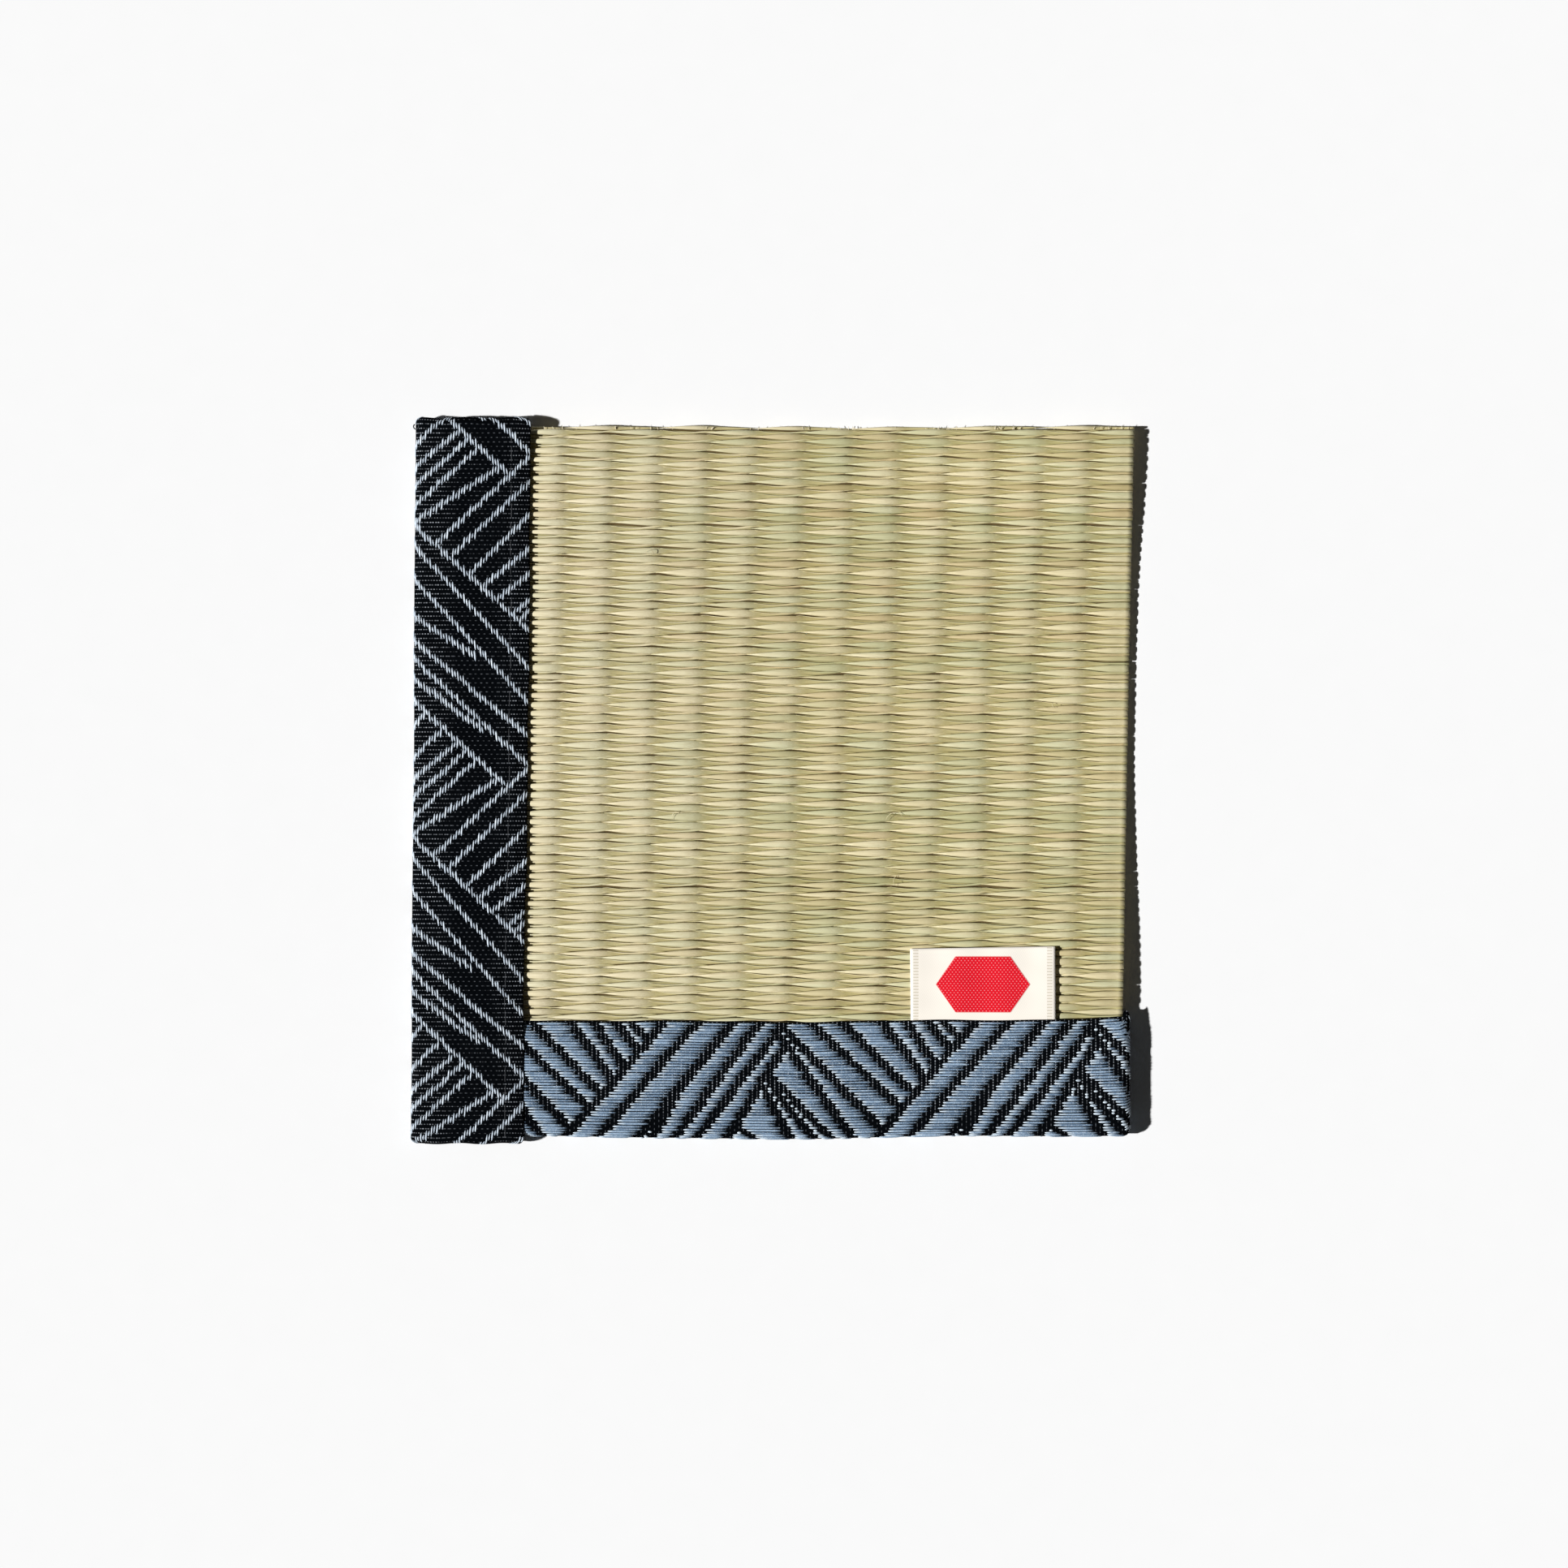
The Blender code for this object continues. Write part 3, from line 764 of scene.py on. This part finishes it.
class Tape:
    """A cloth strip folded round one edge of the facing.

    s runs across the cloth in millimetres, from the inner edge on top, round the outer fold, to the
    inner edge below. t runs along it. inset is the depth below the cloth's face, or less than 0 above
    it. A subclass says in section() where the strip lies.
    """

    fold = 1.4
    fold_radius = 1.5
    end_radius = 1.2
    corner_round = 1.0
    floor_clearance = 0.18
    crown = 0.12
    hem_radius = 0.35
    hem_drop = 0.22
    slope_reach = 2.5
    slope_drop = 0.45
    seam_half_width = 0.55
    pucker = 0.05
    pucker_reach = 3.0
    core_depth = 0.6

    def __init__(self, start, end, round_start, seam, seam_depth):
        self.start, self.end, self.seam, self.seam_depth = start, end, seam, seam_depth
        self.round_start = round_start
        self.end_fold = {"start": self.end_radius if round_start else 0.0, "end": self.end_radius}
        self.top = BINDING_WIDTH - self.fold
        self.fold_length = math.pi * self.fold_radius
        self.width = 2 * self.top + self.fold_length
        self.quarter = {k: math.pi / 2 * r for k, r in self.end_fold.items()}
        folds = sum(self.quarter.values()) - sum(self.end_fold.values())
        self.length = end - start + folds

    def along(self, t, inset):
        """(position along the edge, share of the full height) at t."""
        first, last = self.end_fold["start"], self.end_fold["end"]
        place = self.start + first + (t - self.quarter["start"])
        share = np.ones_like(place)
        if first:
            turn = np.clip(t / self.quarter["start"], 0, 1) * math.pi / 2
            near = t < self.quarter["start"]
            place = np.where(near, self.start + first - (first - inset) * np.cos(turn), place)
            share = np.where(near, np.sin(turn), share)
        turn = np.clip((self.length - t) / self.quarter["end"], 0, 1) * math.pi / 2
        near = t > self.length - self.quarter["end"]
        place = np.where(near, self.end - last + (last - inset) * np.cos(turn), place)
        share = np.where(near, np.sin(turn), share)
        return place, share

    def across(self, s, inset):
        """(distance in from the outer edge, 1 on top to -1 below) at s."""
        turn = np.clip((s - self.top) / self.fold_length, 0, 1) * math.pi
        across = self.fold - (self.fold - inset) * np.sin(turn)
        across = np.where(s < self.top, BINDING_WIDTH - s, across)
        low_start = self.top + self.fold_length
        across = np.where(s > low_start, self.fold + s - self.top - self.fold_length, across)
        return across, np.cos(turn)

    def drawn_in(self, place, across):
        """across, squeezed towards the middle where the ends have rounded corners."""
        from_end = self.end - place
        if self.round_start:
            from_end = np.minimum(from_end, place - self.start)
        short = self.corner_round - np.clip(from_end, 0, self.corner_round)
        cut = self.corner_round - np.sqrt(self.corner_round ** 2 - short ** 2)
        return cut + across * (BINDING_WIDTH - 2 * cut) / BINDING_WIDTH

    def swell(self, s, t, across, side, inset):
        """How far the face stands out from the plain section. It is lower at its hem and its seam."""
        from_inner = np.minimum(s, self.width - s)
        edge = self.hem_drop * round_off(from_inner, self.hem_radius)
        edge = edge + self.slope_drop * (1 - smooth(from_inner / self.slope_reach))
        from_seam = np.abs(s - self.seam)
        dip = self.seam_depth * (1 - smooth(from_seam / self.seam_half_width))
        pucker = self.pucker * np.sin(t * 2.2) * (1 - smooth(from_seam / self.pucker_reach))
        crown = self.crown * np.sin(math.pi * np.clip(across / BINDING_WIDTH, 0, 1))
        ease = np.clip(1 - inset / self.core_depth, 0, 1)
        above = (crown - edge - dip + pucker) * ease
        return np.where(side > 0, above, -self.floor_clearance - edge * ease)

    def point(self, s, t, inset=0.0):
        s, t, inset = np.broadcast_arrays(*(np.asarray(v, float) for v in (s, t, inset)))
        across, side = self.across(s, inset)
        place, share = self.along(t, inset)
        x, y, low, high = self.section(place, self.drawn_in(place, across), t)
        middle, half = (low + high) / 2, (high - low) / 2 - inset
        swell = self.swell(s, t, across, side, inset)
        return np.stack([x, y, middle + (half + swell) * side * share], -1)


def tape_unevenness(t, phase):
    """Small wander of a sewn edge."""
    return wander(t, 0.09, 6.1, phase) + wander(t, 0.05, 2.3, 2 * phase)


class DarkTape(Tape):
    def section(self, place, across, t):
        """(x, y, lowest, highest) of the folded strip."""
        x = dark_outer(place) + across
        uneven = tape_unevenness(t, 0.4) + 0.45 * ramp(place, -45, 70)
        x = x + uneven * np.clip(across / 17, 0, 1) + wander(t, 0.06, 7.7)
        y = place + 0.1 * np.sin(across * 0.9 + 1.0) * ramp(np.abs(place), 54, 3)
        stack = CORNER_DARK_WALL + CORNER_BLUE_WALL + 2 * GAP
        plain = 2 * (HEM_WALL + GAP) + RUSH_SEWN_THICK
        overlap = corner(dark_inner(place), place)
        bulge = END_BULGE * smooth((place - HALF_DEPTH + END_BULGE_LENGTH) / END_BULGE_LENGTH)
        high = plain + (2 * stack + CORNER_RUSH_THICK - plain) * overlap + bulge
        raised = lift(x, place)
        return x, y, raised, high + raised


class BlueTape(Tape):
    def section(self, place, across, t):
        """(x, y, lowest, highest) of the folded strip. Both its edges bow a little."""
        x = place
        width = blue_inner(x) - blue_outer(x)
        share = np.clip(across / BINDING_WIDTH, 0, 1)
        y = blue_outer(x) + across * width / BINDING_WIDTH + tape_unevenness(t, 2.0) * share
        y = y + wander(t, 0.07, 5.9) - 0.35 * (1 - share) * bow(x, -1, 17)
        y = y + 0.35 * (1 - share) * bow(x, -37, 15) + 0.42 * share * ((x - 6) / 44) ** 2
        inside = np.minimum(y, blue_inner(x))
        flap = 1.1 * ramp(x, 54.9, 0.7) * share ** 9
        y = y + flap
        wall = HEM_WALL + (CORNER_BLUE_WALL - HEM_WALL) * corner(x, blue_inner(x))
        flat = rush_bottom_flat(x, inside)
        raised = lift(x, inside)
        low = flat - GAP - wall
        high = flat + sewn_thick(x, inside) + GAP + wall + label_bump(x, inside)
        return x, y, low + raised, high + raised


def tape_steps(tape):
    """Grid lines across and along a tape, closer together at its folds."""
    top = np.concatenate([[0, 0.08, 0.2, 0.4], np.arange(0.7, tape.top, 0.55)])
    fold = np.linspace(tape.top, tape.top + tape.fold_length, 13)
    across = np.concatenate([top, fold, tape.width - top[::-1]])
    turned_in = 2.4
    along = [np.linspace(0, turned_in, 10)[:-1], np.arange(turned_in, tape.length - turned_in, 0.6),
             np.linspace(tape.length - turned_in, tape.length, 10)]
    return across, np.concatenate(along)


def add_tape(name, tape, finish):
    across, along = tape_steps(tape)
    t, s = np.meshgrid(along, across, indexing="ij")
    edge = 1 - smooth(np.minimum(s, tape.width - s) / 3.0)
    outer = tape.point(s, t)
    inner = tape.point(s, t, CLOTH_THICK - (CLOTH_THICK - CLOTH_HEM_THICK) * edge)
    points = np.concatenate([outer.reshape(-1, 3), inner.reshape(-1, 3)])
    coordinates = np.stack([s, t, np.zeros_like(s)], -1).reshape(-1, 3)
    layers = {"tape": np.concatenate([coordinates, coordinates])}
    faces = shell_faces(len(along), len(across))
    return add_piece(name, points, faces, finish, layers)


def field_lines(field):
    """The charted field lines, carried on at an even step for the folded-under cloth."""
    first, last = field[0], field[-1]
    extra = range(1, FIELD_EXTRA_LINES + 1)
    before = [{"at": first["at"] - FIELD_STEP * n, "lean": first["lean"]} for n in reversed(extra)]
    after = [{"at": last["at"] + FIELD_STEP * n, "lean": last["lean"]} for n in extra]
    return before + field + after


def lines_at(v, lines):
    """The lines that reach v, the place across the tape from its middle."""
    return [line for line in lines if line.get("low", v) <= v <= line.get("high", v)]


def crossings(v, low, high, hatch):
    """Where hatch lines cross the thread v millimetres from the tape's middle, and how each leans."""
    found = []
    origin, bundle = hatch["phase"], hatch["bundle"]
    first = int((low - origin) / REPEAT) - SPARE_REPEATS
    last = int((high - origin) / REPEAT) + SPARE_REPEATS
    for repeat in range(first, last + 1):
        base = origin + repeat * REPEAT
        present = lines_at(v, bundle)
        found += [(base + line["at"] + line["lean"] * v, line["lean"]) for line in present]
        start = base + present[-1]["at"] + present[-1]["lean"] * v
        stop = base + REPEAT + bundle[0]["at"] + bundle[0]["lean"] * v
        for line in lines_at(v, field_lines(hatch["field"])):
            at = base + line["at"] + line["lean"] * v
            if start + FIELD_CLEARANCE < at < stop - FIELD_CLEARANCE:
                found.append((at, line["lean"]))
    return sorted(crossing for crossing in found if low < crossing[0] < high)


def float_points(tape, floats, lead, tail):
    """Points of raised thread floats and how far each point is from the float's two tips.

    A float is (s, from, to, width, height, skew). lead and tail are the lengths of its tapered ends.
    """
    s, start, stop, width, height, skew = (np.array(c)[:, None] for c in zip(*floats))
    length = stop - start
    lead = lead * RANDOM.uniform(0.6, 1.4, length.shape)
    tail = tail * RANDOM.uniform(0.6, 1.4, length.shape)
    first = np.minimum(0.38, lead / length)
    last = np.minimum(0.38, tail / length)
    zero = np.zeros_like(length)
    share = [zero, 0.35 * first, first, zero + 0.5, 1 - last, 1 - 0.35 * last, zero + 1]
    share = np.concatenate(share, 1)
    fat = np.array([0.0, 0.55, 1.0, 1.0, 1.0, 0.55, 0.0])
    stand = np.array([0.0, 0.85, 1.0, 1.0, 1.0, 0.85, 0.0])
    side = np.array([1.0, 0.6, 0.0, -0.6, -1.0])
    rise = np.array([0.0, 0.8, 1.0, 0.8, 0.0])
    t = (start + length * share)[:, :, None]
    middle = (s + skew * (share - 0.5))[:, :, None]
    where = middle + side * (width * (0.15 + 0.85 * fat))[:, :, None] / 2
    depth = 0.03 - rise * (height * stand)[:, :, None]
    where, t, depth = np.broadcast_arrays(where, t, depth)
    from_tip = np.repeat((length * share / lead).ravel(), len(side))
    from_end = np.repeat((length * (1 - share) / tail).ravel(), len(side))
    return tape.point(np.clip(where, 0.0, tape.width), t, depth), from_tip, from_end


def add_floats(name, tape, floats, lead, tail, finish):
    points, from_tip, from_end = float_points(tape, floats, lead, tail)
    sections, sides = points.shape[1:3]
    tone = np.repeat(RANDOM.uniform(0, 1, len(floats)), sections * sides)
    layers = {"tone": tone, "from_tip": from_tip, "from_end": from_end}
    faces = tube_faces(len(floats), sections, sides)
    return add_piece(name, points.reshape(-1, 3), faces, finish, layers)


def kept_on(tape, low, high):
    """A run along the tape, cut short at its ends."""
    return max(TAPE_END_MARGIN, low), min(tape.length - TAPE_END_MARGIN, high)


def dark_floats(tape):
    """Short pale floats along every hatch line, long and short ones by turns, set on weft rows."""
    floats = []
    half_pitch = WEFT_PITCH / 2
    for n, s in enumerate(np.arange(0.12, tape.width - 0.1, DARK_THREAD_PITCH)):
        if abs(s - tape.seam) < 0.17:
            continue
        last = -9.0
        for at, lean in crossings(BINDING_WIDTH / 2 - s, 0.1, tape.length - 0.1, DARK_HATCH):
            at = half_pitch * round((tape.length - at) / half_pitch) + RANDOM.normal(0, 0.05)
            half = DARK_FLOAT["half_lengths"][n % 2] + RANDOM.normal(0, 0.06)
            if abs(at - last) < 0.35:
                continue
            last = at
            low, high = kept_on(tape, at - half, at + half)
            width = DARK_FLOAT["width"] + RANDOM.normal(0, 0.03)
            skew = DARK_FLOAT["skew"] if lean > 0 else -DARK_FLOAT["skew"]
            floats.append((s + RANDOM.normal(0, 0.02), low, high, width, DARK_FLOAT["height"], skew))
    return floats


def blue_floats(tape):
    """Long blue floats that stop short at every hatch line, where the dark ground shows."""
    floats = []
    for s in np.arange(0.4, tape.width - 0.1, BLUE_THREAD_PITCH):
        marks = crossings(s - BINDING_WIDTH / 2, -20.0, tape.length + 20.0, BLUE_HATCH)
        for (here, _), (there, _) in zip(marks[:-1], marks[1:]):
            low = WEFT_PITCH * round((here + BLUE_FLOAT["after"]) / WEFT_PITCH) + RANDOM.normal(0, 0.06)
            high = WEFT_PITCH * round((there - BLUE_FLOAT["before"]) / WEFT_PITCH) + RANDOM.normal(0, 0.12)
            low, high = kept_on(tape, low, high)
            if high - low > 0.3:
                width = BLUE_FLOAT["width"] + RANDOM.normal(0, 0.03)
                floats.append((s + RANDOM.normal(0, 0.015), low, high, width, BLUE_FLOAT["height"], 0.0))
    return floats


def stitches(tape, length, gap, width, height):
    starts = np.arange(1.6, tape.length - 2.0 - length, length + gap)
    return [(tape.seam + RANDOM.normal(0, 0.04), a, a + length, width, height, 0.0) for a in starts]


def add_thread_loop(finish):
    """The sewing thread's loose end, a small loop that stands out at the far left corner."""
    steps, radius = 10, 0.42
    line = []
    for n in range(steps + 1):
        turn = 2.2 + 4.6 * n / steps
        line.append((-55.95 + radius * math.cos(turn), 55.6 + radius * math.sin(turn), 4.2 + 0.08 * n))
    return add_curved_bits("thread_loop", [(line, 0.11)], finish)


# The label.

def add_label(finish):
    """A thin sheet that follows the ribs under it, sewn on a little askew."""
    xs = np.linspace(LABEL_LEFT_X, LABEL_RIGHT_X, 60)
    ys = np.linspace(blue_inner(LABEL_TUCK_X) - LABEL_TUCK, LABEL_TOP_Y, 40)
    y, x = np.meshgrid(ys, xs, indexing="ij")
    ripple = 0.05 * np.cos(2 * weave_phase(x, y)) + 0.03 * np.sin(y * 1.1 + x * 0.4)
    curl = 0.12 * ramp(x, 40, 5) * ramp(y, -31, 5)
    free = ramp(y, blue_inner(x), 2)
    row = y + (0.017 * (x - 33.3) - 0.02) * free
    column = x - 0.2 - 0.008 * (y + 38)
    from_side = np.minimum(x - xs[0], xs[-1] - x)
    round_edge = 0.09 * round_off(from_side, 0.25)
    base = rush_top(x, y) + 0.14 + (ripple + curl) * free
    outer = np.stack([column, row, base + LABEL_THICK - round_edge], -1)
    inner = np.stack([column, row, base + round_edge], -1)
    points = np.concatenate([outer.reshape(-1, 3), inner.reshape(-1, 3)])
    return add_piece("woven_label", points, shell_faces(len(ys), len(xs)), finish)


# The stage.

def add_floor():
    bpy.ops.mesh.primitive_plane_add(size=FLOOR_SIZE, location=(0, 0, 0))
    floor = bpy.context.object
    floor.name = "floor"
    made = Finish("floor_white", 0.9, 0.05)
    made.colour(made.mix(made.noise((0.2, 0.2, 0.2)), (0.86, 0.86, 0.86), (0.875, 0.875, 0.875)))
    floor.data.materials.append(made.material)


def add_light():
    """One strong key from the left, a little from the near side, and a weak even fill."""
    sun = bpy.data.lights.new("key", "SUN")
    sun.energy = KEY_STRENGTH
    sun.angle = math.radians(KEY_SPREAD)
    key = bpy.data.objects.new("key", sun)
    key.rotation_euler = (0.0, math.pi / 2 - math.radians(KEY_HEIGHT), math.radians(KEY_BEARING))
    bpy.context.scene.collection.objects.link(key)
    world = bpy.data.worlds.new("fill")
    world.use_nodes = True
    background = world.node_tree.nodes["Background"]
    background.inputs["Color"].default_value = (1.0, 1.0, 1.0, 1.0)
    background.inputs["Strength"].default_value = FILL_STRENGTH
    bpy.context.scene.world = world


def add_camera():
    """Straight down over the middle of the photograph's frame."""
    camera = bpy.data.cameras.new("camera")
    camera.sensor_width = SENSOR_WIDTH
    camera.lens = SENSOR_WIDTH * CAMERA_AT[2] / FRAME_WIDTH
    camera.clip_start = 0.05
    camera.clip_end = 20.0
    made = bpy.data.objects.new("camera", camera)
    made.location = CAMERA_AT
    bpy.context.scene.collection.objects.link(made)
    bpy.context.scene.camera = made


# The whole coaster. The pieces are made in this order because they share one run of random numbers.

def add_facing():
    stem = rush_finish("rush_stem", (0.40, 0.30, 0.12))
    # Painted shade: the slim stems get a darker streak brown and a lower tone, as they lie lower between
    # the main stems.
    shaded_slim_stem = rush_finish("rush_slim_stem", (0.34, 0.24, 0.10))
    cut_string = plain_thread_finish("cut_string", (0.62, 0.52, 0.32), (0.88, 0.82, 0.66), 3.0,
                                     roughness=0.8, relief=0.05)
    ground = add_ground(ground_finish())
    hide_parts("rush_mat")
    far, near = np.arange(PICKS // 2), np.arange(PICKS // 2, PICKS)
    strands = [
        add_stems("rushes_far", far, MAIN_STEM, stem),
        add_stems("rushes_near", near, MAIN_STEM, stem),
        add_stems("slim_rushes_far", far, SLIM_STEM, shaded_slim_stem),
        add_stems("slim_rushes_near", near, SLIM_STEM, shaded_slim_stem),
        add_splinters(stem),
        add_string_ends(cut_string),
    ]


def add_dark_binding():
    dark = DarkTape(-HALF_DEPTH, HALF_DEPTH, True, 2.9, 0.2)
    dark_cloth = add_tape("dark_cloth", dark, cloth_ground_finish("dark_ground", 8.0))
    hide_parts("binding_dark")
    # The pale threads' tip and end colours are painted shade, darker where the threads dive into the
    # cloth.
    pale = float_finish("pale_thread", low=(0.53, 0.61, 0.70), high=(0.83, 0.91, 0.99),
                        tip=(0.40, 0.47, 0.55), end=(0.28, 0.34, 0.41), twist=(9.0, 1.5, 9.0))
    # The sewing thread is black, and the grey in its colour is painted sheen.
    sewing = plain_thread_finish("grey_sewing", (0.01, 0.011, 0.013), (0.09, 0.095, 0.105), 6.0)
    taper = DARK_FLOAT["taper"]
    on_dark = [
        add_floats("dark_cloth_floats", dark, dark_floats(dark), taper, taper, pale),
        add_floats("dark_stitches", dark, stitches(dark, 2.5, 0.45, 0.13, 0.08), 0.3, 0.3,
                   sewing),
        add_thread_loop(sewing),
    ]


def add_blue_binding():
    blue = BlueTape(BLUE_START_X, BLUE_END_X, False, 1.9, 0.06)
    blue_cloth = add_tape("blue_cloth", blue, cloth_ground_finish("blue_ground", 18.0))
    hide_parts("binding_blue")
    # The slate threads' tip colour is a painted highlight where they rise towards the key light, and their
    # end colour is painted shade where they dive.
    slate = float_finish("slate_thread", low=(0.125, 0.205, 0.315), high=(0.295, 0.42, 0.575),
                         tip=(0.80, 0.90, 0.97), end=(0.02, 0.045, 0.08), twist=(1.5, 9.0, 9.0))
    sewing = plain_thread_finish("black_sewing", (0.003, 0.003, 0.005), (0.012, 0.013, 0.018), 6.0)
    lead, tail = BLUE_FLOAT["lead"], BLUE_FLOAT["tail"]
    on_blue = [
        add_floats("blue_cloth_floats", blue, blue_floats(blue), lead, tail, slate),
        add_floats("blue_stitches", blue, stitches(blue, 5.2, 3.6, 0.15, 0.2), 0.3, 0.3,
                   sewing),
    ]


def add_sewn_label():
    label = add_label(label_finish())
    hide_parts("label")


add_facing()
add_dark_binding()
add_blue_binding()
add_sewn_label()
add_floor()
add_light()
add_camera()
bpy.context.scene.view_settings.view_transform = "Standard"
